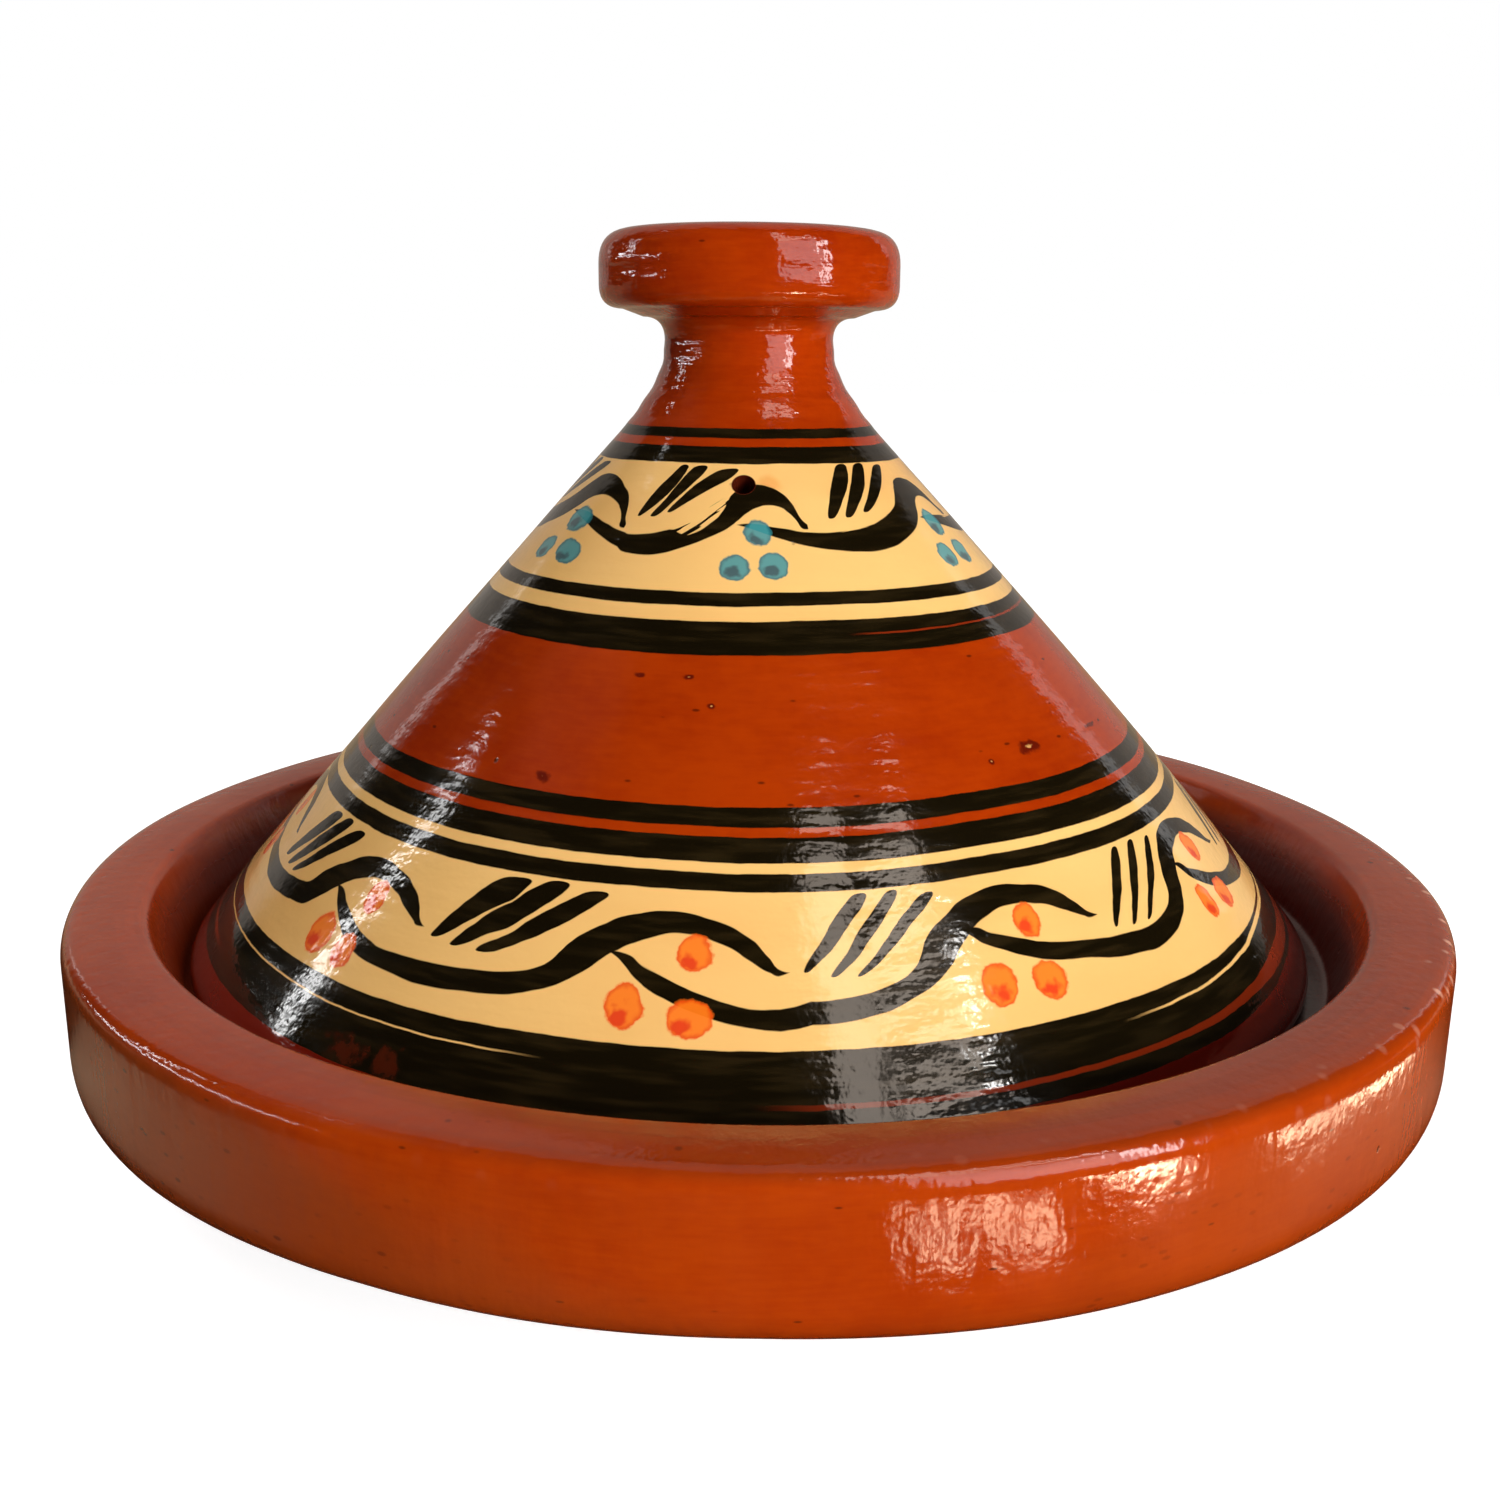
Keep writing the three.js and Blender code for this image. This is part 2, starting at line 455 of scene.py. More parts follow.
def ease(value, low, high):
    return value.node("MapRange", {"interpolation_type": "SMOOTHSTEP"},
                      {"Value": value, "From Min": low, "From Max": high})


def brushEdge(inside, keen):  # turns a depth inside a stroke into paint with a crisp edge
    return inside.node("Math", {"operation": "MULTIPLY_ADD", "use_clamp": True},
                       {0: inside, 1: keen, 2: 0.5})


def handCurve(value, points):  # a smooth line drawn through a few given points
    left, wide = points[0][0], points[-1][0] - points[0][0]
    low = min(tall for spot, tall in points)
    span = max(tall for spot, tall in points) - low
    line = [((spot - left) / wide, (tall - low) / span) for spot, tall in points]
    return value.node("FloatCurve", {"points": line}, {"Value": (value - left) / wide}) * span + low


def newMaterial(name):
    material = bpy.data.materials.new(name)
    material.use_nodes = True
    material.node_tree.nodes.clear()
    return material, Wire(material.node_tree)


def specks(place, scale, size, share):  # scattered small pits and grains
    cells = place.node("TexVoronoi", {"feature": "F1"}, {"Vector": place, "Scale": scale, "Randomness": 1})
    chance = cells.node("SeparateColor", {}, {"Color": cells.pick("Color")})
    core, fade = 0.4, 0.01  # solid part of a speck, and how sharply cells get one or none
    return (1 - ease(cells, size * core, size)) * ease(chance, 1 - share, 1 + fade - share)


glaze = {  # what both glazes share
    "rings": (9, 9, 360),
    "peel": [(60, 2, 0.5), (190, 2, 0.3), (430, 2, 0.22), (720, 1, 0.2)],  # scale, detail, share
    "pitDepth": 0.5,
    "pitShade": 0.7,
    "dull": 90,
    "bending": 1.5,
}


def glazeSkin(place, pits, values):  # runny, pitted glaze over throwing lines
    rings = cloud(stretched(place, *glaze["rings"]), 1, 1)
    broken = cloud(stretched(place, *values["runs"]), 1, 2)
    layers = [cloud(place, scale, detail) * share for scale, detail, share in glaze["peel"]]
    peel = sum(layers[1:], layers[0]) * values["peel"]
    return peel + broken * values["runShare"] + rings * values["ringShare"] - pits * glaze["pitDepth"]


def finishGlaze(wire, colour, roughness, skin, depth):
    bump = wire.node("Bump", {}, {"Height": skin, "Strength": 1, "Distance": depth * mm})
    shader = wire.node("BsdfPrincipled", {}, {
        "Base Color": colour, "Roughness": roughness, "Normal": bump, "IOR": glaze["bending"]})
    wire.node("OutputMaterial", {}, {"Surface": shader}, out=None)


redGlaze = {  # a zone by reach or height fades in between two values in millimetres
    "light": linear(175, 60, 3),
    "deep": linear(158, 46, 1),
    "thinAndShade": linear(140, 60, 16),
    "rim": linear(128, 44, 8),
    # painted shade for the hollow between dish and lid
    "grooveShade": linear(70, 10, 1),
    "grain": linear(52, 16, 4),
    "nick": linear(216, 152, 124),
    "pits": (150, 0.14, 0.05),  # scale, size, share
    "wallReach": (136, 140),
    "wallTop": (50, 53),
    "thinNoise": (40, 3),
    "thinWander": 22,
    "thinFade": (-7, 8),
    "thinTop": [(-180, 48), (-146, 58), (-126, 52), (-112, 42), (-102, 34), (-88, 26), (-74, 34),
                (-60, 46), (-20, 52), (60, 50), (180, 48)],
    # how much of the browner glaze and painted shade the wall gets at each angle
    "thinAndShadeShare": [(-180, 0.8), (-160, 0.95), (-145, 0.8), (-118, 0.6), (-100, 0.45), (-80, 0.3),
                  (-60, 0.35), (-20, 0.45), (60, 0.5), (180, 0.8)],
    "scuffs": (250, 0.3, 0.42),
    "scuffFlat": (1, 1, 2.2),
    "scuffNoise": (55, 2),
    "scuffPatches": (0.42, 0.58),
    "scuffShare": 0.8,
    "rimReach": (130, 133),
    "rimHeight": (51, 53),
    "rimEnd": (142, 146),
    "rimRingStretch": (9, 0.5),
    "rimRings": (0.42, 0.62),
    "rimRingShare": 0.16,
    # how much painted shade the flat top gets at each angle
    "rimShadeShare": [(-180, 0.02), (-140, 0.04), (-115, 0.2), (-100, 0.4), (-80, 0.55), (-55, 0.5),
                 (-25, 0.32), (90, 0.2), (180, 0.02)],
    "grooveReach": (110, 114),
    "grooveEnd": (132, 136),
    "grooveTop": (43, 55),
    "grooveShadeShare": [(-180, 0.55), (-130, 0.5), (-70, 0.85), (-25, 1), (50, 1), (120, 0.85), (180, 0.55)],
    "edgeReach": (144.5, 147.5),
    "edgeHeight": (48.5, 51),
    "nicks": (300, 0.42, 0.35),
    "nickTall": (1, 1, 0.6),
    "nickShare": [(-180, 0.05), (-60, 0.1), (-38, 0.4), (-24, 1), (0, 0.9), (16, 0.2), (90, 0.05),
                  (180, 0.05)],
    "nickPale": 0.9,
    "gloss": (0.12, 0.06),
    "rimDull": 0.1,
    "grooveDull": 0.2,
    "thinDull": 0.08,
    "runs": (330, 330, 90),
    "runShare": 0.4,
    "ringShare": 0.06,
    "peel": 0.6,
    "skinDepth": 0.36,
}
clayTone = {
    "broad": (26, 4, 0.65),
    "strokes": (30, 30, 150),
    "fine": (160, 160, 1100),
    "grit": 480,
    "shares": (0.5, 0.2, 0.2, 0.1),
    "spread": (0.36, 0.66),
    "dashes": (170, 0.17, 0.16),
    "dashFlat": (1, 1, 3),
    "dashShare": 0.7,
}


def clayRed(place, values):  # brushed red glaze with dark dashes of grain
    broadShare, strokeShare, fineShare, gritShare = clayTone["shares"]
    broad = cloud(place, *clayTone["broad"]) * broadShare
    strokes = cloud(stretched(place, *clayTone["strokes"]), 1, 3, 0.6) * strokeShare
    fine = cloud(stretched(place, *clayTone["fine"]), 1, 2) * fineShare
    patches = broad + strokes + fine + cloud(place, clayTone["grit"], 2) * gritShare
    colour = mixColour(ease(patches, *clayTone["spread"]), values["light"], values["deep"])
    dashes = specks(stretched(place, *clayTone["dashFlat"]), *clayTone["dashes"])
    return mixColour(dashes * clayTone["dashShare"], colour, values["grain"])


def makeRedGlaze(values):
    material, wire = newMaterial("redGlaze")
    place = wire.node("TexCoord", out="Object")
    parts = wire.node("SeparateXYZ", {}, {"Vector": place})
    across, deep, height = parts.pick("X"), parts.pick("Y"), parts.pick("Z") / mm
    reach = (across * across + deep * deep).maths("SQRT") / mm
    around = deep.maths("ARCTAN2", across) * (180 / math.pi)
    pits = specks(place, *values["pits"])
    colour = mixColour(pits * glaze["pitShade"], clayRed(place, values), values["grain"])

    # browner glaze low on the dish wall, which is real, plus painted shade that covers most of the wall on
    # the left side
    wander = waver(place, *values["thinNoise"]) * values["thinWander"]
    wornLine = height + wander - handCurve(around, values["thinTop"])
    onWall = ease(reach, *values["wallReach"]) * (1 - ease(height, *values["wallTop"]))
    bare = (1 - ease(wornLine, *values["thinFade"])) * onWall * handCurve(around, values["thinAndShadeShare"])
    colour = mixColour(bare, colour, values["thinAndShade"])
    scuffed = ease(cloud(place, *values["scuffNoise"]), *values["scuffPatches"])
    scuffs = specks(stretched(place, *values["scuffFlat"]), *values["scuffs"]) * scuffed
    colour = mixColour(scuffs * bare * values["scuffShare"], colour, values["grain"])

    onRim = ease(height, *values["rimHeight"]) * ease(reach, *values["rimReach"])
    long, close = values["rimRingStretch"]
    ringPlace = wire.node("CombineXYZ", {}, {"X": across * long, "Y": deep * long, "Z": reach * close})
    rings = ease(cloud(ringPlace, 1, 3), *values["rimRings"]) * values["rimRingShare"]
    # darker rings from throwing, which are real, plus painted shade on the flat top, strongest at the
    # front
    colour = mixColour(onRim * (rings + handCurve(around, values["rimShadeShare"])), colour, values["rim"])
    # painted shade: the inner wall and the ledge under the lid are painted darker towards the bottom, most
    # on the right side
    grooveWall = (1 - ease(height, *values["grooveTop"])) * (1 - ease(reach, *values["grooveEnd"]))
    inGroove = grooveWall * ease(reach, *values["grooveReach"])
    colour = mixColour(inGroove * handCurve(around, values["grooveShadeShare"]), colour, values["grooveShade"])
    onEdge = ease(height, *values["edgeHeight"]) * ease(reach, *values["edgeReach"])
    nicks = specks(stretched(place, *values["nickTall"]), *values["nicks"])
    nicks = nicks * onEdge * handCurve(around, values["nickShare"])
    colour = mixColour(nicks * values["nickPale"], colour, values["nick"])

    uneven, least = values["gloss"]
    rough = cloud(place, glaze["dull"], 3) * uneven + least
    flatRim = onRim * (1 - ease(reach, *values["rimEnd"]))
    rough = rough + flatRim * values["rimDull"] + inGroove * values["grooveDull"]
    rough = rough + bare * values["thinDull"]
    finishGlaze(wire, colour, rough, glazeSkin(place, pits, values), values["skinDepth"])
    return material


# Painted lid. Angles in degrees round the axis, heights in millimetres.
paint = {
    "cream": linear(249, 196, 118),
    "creamThin": linear(238, 177, 100),
    "creamGrain": (14, 14, 60),
    "creamSpread": (0.4, 0.75),
    "creamShare": 0.6,
    "black": linear(19, 13, 3),
    "brownBlack": linear(38, 28, 11),
    "inkGrain": (70, 70, 800),
    "inkSpread": (0.42, 0.75),
    "keen": 7,
    "waver": [(20, 1, 1.0), (170, 2, 0.35)],  # scale, detail, millimetres
    "light": linear(172, 54, 1),
    "deep": linear(150, 38, 0),
    "grain": linear(60, 14, 2),
    "edgeRed": linear(112, 18, 2),
    "edgeTop": 45.3,
    "edgeSway": 0.6,
    "grit": (420, 2),
    "flame": linear(96, 30, 9),
    "flameGrit": 2.4,
    "flameFade": (0.4, 1.2),
    "flameShare": 0.55,
    "orange": linear(252, 122, 26),
    "orangeDeep": linear(230, 44, 4),
    "teal": linear(64, 147, 150),
    "tealDeep": linear(14, 84, 98),
    "dabCover": 0.93,
    "chip": linear(98, 20, 4),
    "chipGrit": 1.8,
    "chipFade": (0.5, 1.1),
    # pale centre of each chip, a painted glint
    "chipGlint": (0, 0.25),
    "chipGlintShare": 0.7,
    "rust": linear(134, 40, 10),
    # painted shade inside the steam hole
    "boreShade": linear(84, 26, 12),
    "boreShadeLine": 0.25,
    "stain": linear(232, 138, 52),
    "stainPlace": (-84, 141.7, 4.5, 2),
    "stainNoise": (260, 2),
    "stainFade": (0.3, 1.1),
    "stainShare": 0.45,
    "pits": (160, 0.12, 0.05),
    "gloss": (0.1, 0.05),
    "knobFrom": (150, 160),
    "knobPeel": 1.5,  # more orange peel on the knob
    "runs": (130, 130, 480),
    "runShare": 0.32,
    "ringShare": 0.5,
    "peel": 0.5,
    "skinDepth": 0.29,
    "bands": [  # colour, lower edge, upper edge; a later band lies over an earlier one
        ("black", 45.3, 88.8), ("black", 112.2, 151.9), ("red", 84.5, 85.9), ("red", 148.4, 150.0),
        ("cream", 55.3, 76.7), ("cream", 79.3, 80.8), ("cream", 117.7, 120.2), ("cream", 122.5, 145.2)],
    "lines": [  # colour, height, half thickness, middle and half width of the bare stretch, sway, swell
        ("cream", 52.35, 0.14, -81, 30, 1, 1), ("rust", 48.1, 0.38, -122, 36, 0.25, 1.2),
        ("rust", 115.2, 0.14, -150, 82, 0.2, 0.2)],
    "lineFade": 4,
    "sway": [(-180, 0.5), (-158, 0.4), (-130, 0), (-70, 0), (-52, 0.4), (-40, 0.7), (-30, 1.2),
             (-20, 2), (0, 2), (40, 0.3), (100, -0.5), (150, 0.2), (180, 0.5)],
    "swell": [(-180, 1), (-60, 1), (-45, 1.3), (-32, 2), (-20, 2.8), (0, 2.4), (30, 1.2), (90, 0.8),
              (180, 1)],
    "flames": [  # angle, height, half width, half height, as for the chips
        (-126.6, 46.9, 2.4, 1.9), (-121.8, 47.3, 1.7, 2.1)],
    "chips": [
        (-117.8, 91, 1.2, 1.1), (-47.3, 94, 2.2, 1.2), (-55.3, 93, 0.7, 0.6), (-108, 108.3, 1.3, 0.6),
        (-99.8, 108.5, 1, 0.5), (-95.6, 104, 0.7, 0.5), (-29, 94, 2.4, 0.5), (64, 101, 1.4, 1),
        (131, 93, 1.2, 0.9)],
}
# A vine is one stroke, repeated. Its edges, hashes and dabs are in degrees from the stroke's tip.
# Round the lid, drift moves it up, slide along, dry splits the brush and bold thickens the hashes.
lowerBand = {
    "count": 10, "tip": -52, "past": 1.5, "keen": 6, "dab": "orange",
    "upperEdge": [(-53, 67.5), (-51.4, 68.6), (-48.5, 67), (-46, 65.7), (-42, 63.7), (-37, 62.1),
                  (-30, 61.9), (-25, 63.1), (-22.2, 64.8), (-20, 68.6), (-17, 71.9), (-13.5, 74.2),
                  (-10, 74.9), (-6, 74), (-2.5, 71.8), (-0.6, 69.2), (0.6, 67), (2, 66)],
    "lowerEdge": [(-53, 69.5), (-51.4, 68.1), (-48.8, 65.1), (-44, 62), (-38, 59.8), (-32, 58.7),
                  (-27, 59.3), (-22, 61.4), (-18.4, 64.7), (-15.6, 68.3), (-12, 71.1), (-8.8, 71.9),
                  (-5.5, 71), (-2.5, 68.8), (-0.4, 67), (0.6, 66.4), (2, 67)],
    "hashes": [(-33, 65.3, -26.4, 76), (-30.4, 64.7, -22.4, 76.2), (-27.8, 64.6, -18, 75.5)],
    "hashWidth": 1.15,
    "dabs": [(-7.6, 69.3, 1.85, 2.7), (-13.6, 61.5, 1.9, 3.1), (-7.8, 60.8, 2.0, 2.75)],
    "drift": [(-180, 0), (-158, 1.9), (-146, 0), (-135, -1.5), (-122, -0.1), (-110, -0.6),
              (-98, -1.4), (-89, -1.7), (-84, -0.2), (-62, 0), (-46, 1.4), (-28, 0.8), (10, 0),
              (60, -1), (110, 0.8), (150, -0.6), (180, 0)],
    "slide": [(-180, 0), (-138, -0.8), (-125, -2), (-115, -0.5), (-100, 0.5), (-87, 0.5), (-67, -0.6),
              (-52, -0.8), (-45, -0.5), (-30, -2.5), (-18, -2.8), (0, -1), (90, 2), (150, -2), (180, 0)],
    "lift": [(-180, 0), (-82, 0), (-74, 0.5), (-67, 1.3), (-60, 1.7), (-54, 1.4), (-49, 0.9),
             (-43, 0.1), (-38, 0), (180, 0)],
    "liftFade": (-26, -17),
    "dry": [(-180, 0), (20, 0), (32, 1.2), (44, 0), (180, 0)],
    "bold": [(-180, 1.3), (-155, 1.4), (-110, 1.5), (-92, 1.1), (-76, 0.95), (-42, 0.85), (20, 1.3),
             (80, 0.9), (130, 1.5), (180, 1.4)],
}
upperBand = {
    "count": 6, "tip": -17, "past": 1.5, "keen": 6, "dab": "teal",
    "upperEdge": [(-79, 133.4), (-75, 134.5), (-67, 133.8), (-53, 132.7), (-46, 132.8), (-39, 133.4),
                  (-34, 134.3), (-27, 136.3), (-23, 138.3), (-19, 140.3), (-15.8, 141.3), (-12, 141.6),
                  (-8.6, 141.2), (-5.2, 140.2), (-2, 138.2), (0.4, 135), (3, 133.6)],
    "lowerEdge": [(-79, 134.6), (-75, 133.8), (-67, 132), (-59, 130.5), (-54, 129.9), (-43, 129.2),
                  (-36, 129.5), (-30, 130.6), (-23, 132.5), (-17.4, 135), (-14.7, 136.5), (-11.9, 137.5),
                  (-9.1, 137.9), (-6.3, 137.7), (-3.6, 136.7), (-1.3, 135), (0.4, 133.6), (3, 134.4)],
    "hashes": [(-50, 135.2, -38, 145.1), (-44.5, 135.2, -29.6, 145.1), (-38, 136, -20, 144.6)],
    "hashWidth": 3.1,
    "dabs": [(-12.4, 133, 3.8, 2.5), (-17.6, 127, 3.4, 2.25), (-9, 127.2, 3.4, 2.25)],
    "drift": [(-180, 0), (-146, 0.6), (-120, -0.8), (-89, 0), (-60, 0), (-30, 0), (40, 0.5),
              (110, -0.6), (180, 0)],
    "slide": [(-180, 3), (-152, 4.5), (-146, 5), (-141, 6.5), (-133, 9), (-126, 11), (-124.6, 11),
              (-122, 4.5), (-117, 4), (-112, 1.5), (-104, 0), (-93, 1.5), (-76, 1.2), (-68, 0), (0, 0),
              (60, -3), (120, 4), (180, 3)],
    "lift": [(-180, 0), (30, 0), (60, 0.3), (90, 0), (180, 0)],
    "liftFade": (-43, -28),
    "dry": [(-180, 0), (-114, 0), (-110, 0.6), (-104, 3), (-100, 3.2), (-96.5, 1.2), (-93, 0), (60, 0),
            (75, 2.2), (88, 0), (180, 0)],
    "bold": [(-180, 1), (-110, 1.15), (-50, 1), (30, 0.8), (110, 1.2), (180, 1)],
}
brush = {  # how the strokes and dabs of both bands are brushed
    "shake": (130, 2),
    "shakeFar": 0.9,
    "waver": (75, 2),
    "waverFar": 0.8,
    "hair": (0.07, 1.1),
    "hairSplit": (0.4, 0.5),
    "hashTaper": [(0, 0), (0.06, 0.45), (0.3, 0.72), (0.7, 1), (0.93, 0.85), (1, 0)],
    "hashKeen": 1.3,
    "hashInset": 0.05,
    "smear": (330, 2),
    "ragged": (620, 2),
    "dabKeen": 9,
    "dabShake": 0.55,
    "dabRagged": 0.36,
    "dabGrow": 0.16,
    "blot": (-0.2, -0.45, 0.75, 0.6),
    "blotSmear": 2.4,
    "blotFade": (0.3, 0.95),
    "pool": (0.85, 1.15),
    "poolSmear": 0.3,
    "poolShare": 0.75,
}


def fromMiddle(around, height, turn, tall, wide, high):  # 0 in the middle of a spot, 1 at its edge
    across, upward = (around - turn) / wide, (height - tall) / high
    return (across * across + upward * upward).maths("SQRT")


def vineBand(around, height, place, band):
    period = 360 / band["count"]
    shake = waver(place, *brush["shake"])
    tip, past = band["tip"], band["past"]
    turned = around - handCurve(around, band["slide"])
    along = turned.maths("WRAP", tip + past, tip + past - period) - tip + shake * brush["shakeFar"]
    level = height + waver(place, *brush["waver"]) * brush["waverFar"]
    drawn = level - handCurve(around, band["drift"])
    bold = handCurve(around, band["bold"])
    dry = handCurve(around, band["dry"])  # how deep the brush splits below a stroke's upper edge
    lift = handCurve(around, band["lift"])  # how much higher a stroke starts here
    hairLong, hairClose = brush["hair"]

    def vine(turn):
        upper, lower = handCurve(turn, band["upperEdge"]), handCurve(turn, band["lowerEdge"])
        stroke = drawn - lift * (1 - ease(turn, *band["liftFade"]))
        depth = upper - stroke
        hair = place.node("CombineXYZ", {}, {"X": turn * hairLong, "Y": depth * hairClose})
        split = dry * ease(cloud(hair, 1, 1), *brush["hairSplit"])
        return (depth - split).maths("MINIMUM", stroke - lower)

    strokes = vine(along).maths("MAXIMUM", vine(along - period))
    for lowTurn, lowHeight, highTurn, highHeight in band["hashes"]:
        up = (level - lowHeight) / (highHeight - lowHeight)
        centre = up * (highTurn - lowTurn) + lowTurn
        width = handCurve(up, brush["hashTaper"]) * bold * band["hashWidth"]
        depth = (width - (along - centre).maths("ABSOLUTE")) * brush["hashKeen"] - brush["hashInset"]
        strokes = strokes.maths("MAXIMUM", depth)
    ink = brushEdge(strokes, band["keen"])

    dabs = hearts = None
    smear, ragged = cloud(place, *brush["smear"]), cloud(place, *brush["ragged"])
    for turn, tall, wide, high in band["dabs"]:
        across, upward = (along - turn) / wide, (drawn - tall) / high
        ring = (across * across + upward * upward).maths("SQRT") + shake * brush["dabShake"]
        ring = ring + ragged * brush["dabRagged"] - brush["dabGrow"]
        dab = brushEdge(1 - ring, brush["dabKeen"])
        blot = fromMiddle(across, upward, *brush["blot"]) + (smear - 0.5) * brush["blotSmear"]
        pool = ease(ring + smear * brush["poolSmear"], *brush["pool"]) * brush["poolShare"]
        heart = (1 - ease(blot, *brush["blotFade"])).maths("MAXIMUM", pool)
        dabs = dab if dabs is None else dabs.maths("MAXIMUM", dab)
        hearts = dab * heart if hearts is None else hearts.maths("MAXIMUM", dab * heart)
    return ink, dabs, hearts


def makePaintedGlaze(values, shape):
    material, wire = newMaterial("paintedGlaze")
    place = wire.node("TexCoord", out="Object")
    parts = wire.node("SeparateXYZ", {}, {"Vector": place})
    height = parts.pick("Z") / mm
    lean = (height - shape["base"]) * (shape["leanLeft"] / shape["leanHeight"] * mm)
    around = parts.pick("Y").maths("ARCTAN2", parts.pick("X") - shape["axisX"] + lean) * (180 / math.pi)
    level = height
    for scale, detail, far in values["waver"]:
        level = level + waver(place, scale, detail) * far

    ground = clayRed(place, values)
    creamSpots = ease(cloud(stretched(place, *values["creamGrain"]), 1, 3), *values["creamSpread"])
    creamTone = mixColour(creamSpots * values["creamShare"], values["cream"], values["creamThin"])
    streaks = ease(cloud(stretched(place, *values["inkGrain"]), 1, 2), *values["inkSpread"])
    inkTone = mixColour(streaks, values["black"], values["brownBlack"])
    tones = {"cream": creamTone, "black": inkTone, "red": ground, "rust": values["rust"]}
    colour = ground
    for tone, low, high in values["bands"]:
        inside = (high - low) / 2 - (level - (low + high) / 2).maths("ABSOLUTE")
        colour = mixColour(brushEdge(inside, values["keen"]), colour, tones[tone])
    sway, swell = handCurve(around, values["sway"]), handCurve(around, values["swell"])
    for tone, middle, half, bare, reach, swayShare, swellShare in values["lines"]:
        thick = ((swell - 1) * swellShare + 1) * half
        inside = thick - (level - sway * swayShare - middle).maths("ABSOLUTE")
        away = (around - bare).maths("WRAP", 180, -180).maths("ABSOLUTE")
        drawn = ease(away, reach - values["lineFade"], reach + values["lineFade"])
        colour = mixColour(brushEdge(inside, values["keen"]) * drawn, colour, tones[tone])
    edge = brushEdge(sway * values["edgeSway"] + values["edgeTop"] - level, values["keen"])
    colour = mixColour(edge, colour, values["edgeRed"])
    grit = waver(place, *values["grit"])
    for spot in values["flames"]:
        flame = fromMiddle(around, height, *spot) + grit * values["flameGrit"]
        flame = (1 - ease(flame, *values["flameFade"])) * values["flameShare"]
        colour = mixColour(flame, colour, values["flame"])
    stain = fromMiddle(around, height, *values["stainPlace"]) + waver(place, *values["stainNoise"])
    stain = (1 - ease(stain, *values["stainFade"])) * values["stainShare"]
    colour = mixColour(stain, colour, values["stain"])

    for band in (lowerBand, upperBand):
        ink, dabs, hearts = vineBand(around, height, place, band)
        colour = mixColour(ink, colour, inkTone)
        dabTone = mixColour(hearts, values[band["dab"]], values[band["dab"] + "Deep"])
        colour = mixColour(dabs * values["dabCover"], colour, dabTone)

    for spot in values["chips"]:
        chip = fromMiddle(around, height, *spot) + grit * values["chipGrit"]
        colour = mixColour(1 - ease(chip, *values["chipFade"]), colour, values["chip"])
        # the dark chip is real; its pale centre is a painted glint
        heart = (1 - ease(chip, *values["chipGlint"])) * values["chipGlintShare"]
        colour = mixColour(heart, colour, values["creamThin"])
    # painted shade: the inside of the steam hole is painted dark brown
    spot, way = steamHolePlace(shape)
    aside = wire.node("VectorMath", {"operation": "SUBTRACT"}, {0: place, 1: spot})
    aside = wire.node("VectorMath", {"operation": "CROSS_PRODUCT"}, {0: aside, 1: way})
    fromBore = wire.node("VectorMath", {"operation": "LENGTH"}, {0: aside}, out="Value") / mm
    inBore = 1 - ease(fromBore, shape["holeRadius"], shape["holeRadius"] + values["boreShadeLine"])
    colour = mixColour(inBore, colour, values["boreShade"])

    pits = specks(place, *values["pits"])
    colour = mixColour(pits * glaze["pitShade"], colour, values["black"])
    uneven, least = values["gloss"]
    rough = cloud(place, glaze["dull"], 3) * uneven + least
    skin = glazeSkin(place, pits, values) * (ease(height, *values["knobFrom"]) * values["knobPeel"] + 1)
    finishGlaze(wire, colour, rough, skin, values["skinDepth"])
    return material


redMaterial = makeRedGlaze(redGlaze)
paintedMaterial = makePaintedGlaze(paint, lidShape)
dishClay.data.materials.clear()
dishClay.data.materials.append(redMaterial)
lidClay.data.materials.clear()
lidClay.data.materials.append(paintedMaterial)
lidClay.data.materials.append(redMaterial)
insideRed = {
    "boreSlack": 0.05,
    "bottomRise": 0.6,
    "roofSlope": -0.3,
}


def paintInsideRed(piece, shape, values):
    spot, way = steamHolePlace(shape)
    for face in piece.data.polygons:
        fromBore = (face.center - spot).cross(way).length
        inBore = fromBore < (shape["holeRadius"] + values["boreSlack"]) * mm
        outwardX, outwardY = face.center.x - shape["axisX"], face.center.y
        inward = outwardX * face.normal.x + outwardY * face.normal.y < 0
        low = face.center.z < (shape["base"] + shape["coneRise"]) * mm
        bottom = face.center.z < (shape["base"] + values["bottomRise"]) * mm
        roof = face.normal.z < values["roofSlope"] and low
        face.material_index = 1 if not inBore and ((inward and low) or bottom or roof) else 0


paintInsideRed(lidClay, lidShape, insideRed)
print("glazes on")

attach(dishClay, "dish")
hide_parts("dish")
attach(lidClay, "lid")
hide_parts("lid")

# Floor, light and camera
studio = {
    "floorSize": 12,
    "floorDrop": 0.5,
    "floorColour": (0.6, 0.6, 0.6, 1),
    "floorGlow": 0.85,
    "floorMirror": 0.008,
    "floorPaper": (0.05, 0.3),
    # glowing patches and veils on the floor, seen only in reflections, where they make highlights in the
    # glaze
    "floorPatches": [  # angle, reach, half of each, glow, as for the veils
        (-70, 226, 8, 18, 16), (-53, 247, 6.5, 20, 60), (-23, 229, 16, 9, 20)],
    "floorVeils": [(-156, 205, 34, 45, 0.4), (-26, 205, 34, 45, 0.3)],
    "patchSoft": 0.7,
    "veilSoft": 0.2,
    "patchColour": (1, 0.74, 0.48, 1),
    "dappleStretch": (0.5, 0.035),
    "dapple": (0.45, 0.56),
    "paperMirror": 0.38,
    "paperLean": 0.05,
    "paperTint": (1, 0.88, 0.77, 1),
    "paperSide": (0.62, 0.72),  # pale paper stands behind the object
    "frontMirror": 0.012,
    "paperAir": 0.75,
    "frontAir": 0.12,
    "lampAim": 80,
    "lampAway": 4,
}


